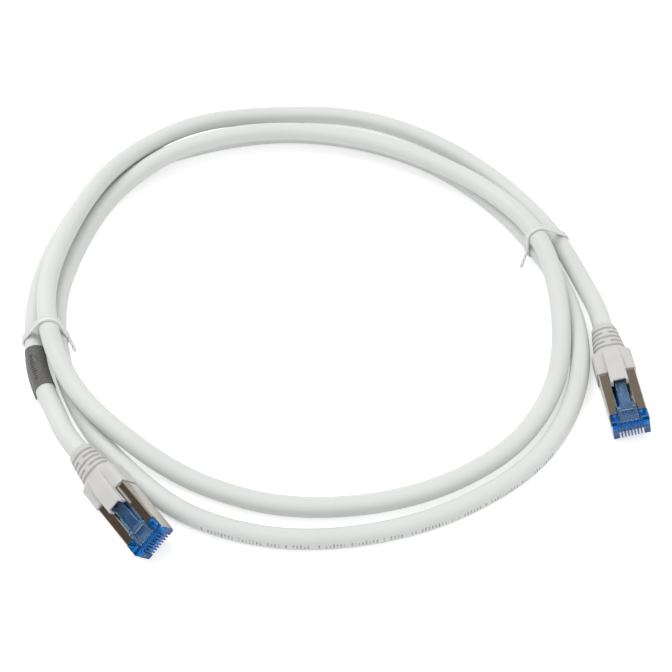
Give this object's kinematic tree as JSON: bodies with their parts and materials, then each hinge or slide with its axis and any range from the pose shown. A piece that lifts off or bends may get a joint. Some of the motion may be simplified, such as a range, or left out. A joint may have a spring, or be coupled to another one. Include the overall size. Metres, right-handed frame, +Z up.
{
  "type": "ethernet patch cable",
  "caption": "Shielded modular patch cable with a booted clear plug at each end, coiled in a loose loop held by twist ties.",
  "frame": {"origin": "middle of the base of the box round the two plugs, on the surface that the coil lies on", "axes": "+Z up from the surface, +X from the left plug to the right plug of the coil, +Y away from the plugs towards the far side of the loop"},
  "size_m": [0.2042, 0.1994, 0.0154],
  "materials": {
    "jacket": "satin pale grey flexible jacket",
    "marker": "matt dark grey film",
    "tie": "milky glossy strip with a wire core",
    "clear_blue": "glossy see-through blue polycarbonate",
    "nickel": "bright nickel-plated sheet",
    "boot_plastic": "satin warm pale grey moulding",
    "white_plastic": "plain white moulding",
    "gold": "gold-plated contact",
    "wire_1": "conductor insulation",
    "wire_2": "conductor insulation",
    "wire_3": "conductor insulation",
    "wire_4": "conductor insulation",
    "wire_5": "conductor insulation",
    "wire_6": "conductor insulation",
    "wire_7": "conductor insulation",
    "wire_8": "conductor insulation"
  },
  "bodies": {
    "cable": {"cable_jacket": "jacket", "marker_sleeve": "marker", "tie_left": "tie", "tie_right": "tie", "plug_a_housing": "clear_blue", "plug_a_shield": "nickel", "plug_a_boot": "boot_plastic", "plug_a_crimp_ferrule": "nickel", "plug_a_load_bar": "white_plastic", "plug_a_wire_1": "wire_1", "plug_a_wire_2": "wire_2", "plug_a_wire_3": "wire_3", "plug_a_wire_4": "wire_4", "plug_a_wire_5": "wire_5", "plug_a_wire_6": "wire_6", "plug_a_wire_7": "wire_7", "plug_a_wire_8": "wire_8", "plug_a_contact_1": "gold", "plug_a_contact_2": "gold", "plug_a_contact_3": "gold", "plug_a_contact_4": "gold", "plug_a_contact_5": "gold", "plug_a_contact_6": "gold", "plug_a_contact_7": "gold", "plug_a_contact_8": "gold", "plug_b_housing": "clear_blue", "plug_b_shield": "nickel", "plug_b_boot": "boot_plastic", "plug_b_crimp_ferrule": "nickel", "plug_b_load_bar": "white_plastic", "plug_b_wire_1": "wire_1", "plug_b_wire_2": "wire_2", "plug_b_wire_3": "wire_3", "plug_b_wire_4": "wire_4", "plug_b_wire_5": "wire_5", "plug_b_wire_6": "wire_6", "plug_b_wire_7": "wire_7", "plug_b_wire_8": "wire_8", "plug_b_contact_1": "gold", "plug_b_contact_2": "gold", "plug_b_contact_3": "gold", "plug_b_contact_4": "gold", "plug_b_contact_5": "gold", "plug_b_contact_6": "gold", "plug_b_contact_7": "gold", "plug_b_contact_8": "gold"},
    "latch_a": {"plug_a_latch": "clear_blue"},
    "latch_b": {"plug_b_latch": "clear_blue"}
  },
  "joints": [
    {"name": "plug_a_latch_hinge", "type": "hinge", "parent": "cable", "child": "latch_a", "pos_m": [-0.06453, -0.03931, 0.0089], "axis": [-0.6429, -0.5077, -0.5736], "range_deg": [0, 6.5], "stiffness_Nm_per_rad": 0.2},
    {"name": "plug_b_latch_hinge", "type": "hinge", "parent": "cable", "child": "latch_b", "pos_m": [0.08305, 0.00434, 0.00803], "axis": [-0.9699, -0.0934, -0.225], "range_deg": [0, 6.5], "stiffness_Nm_per_rad": 0.2}
  ]
}
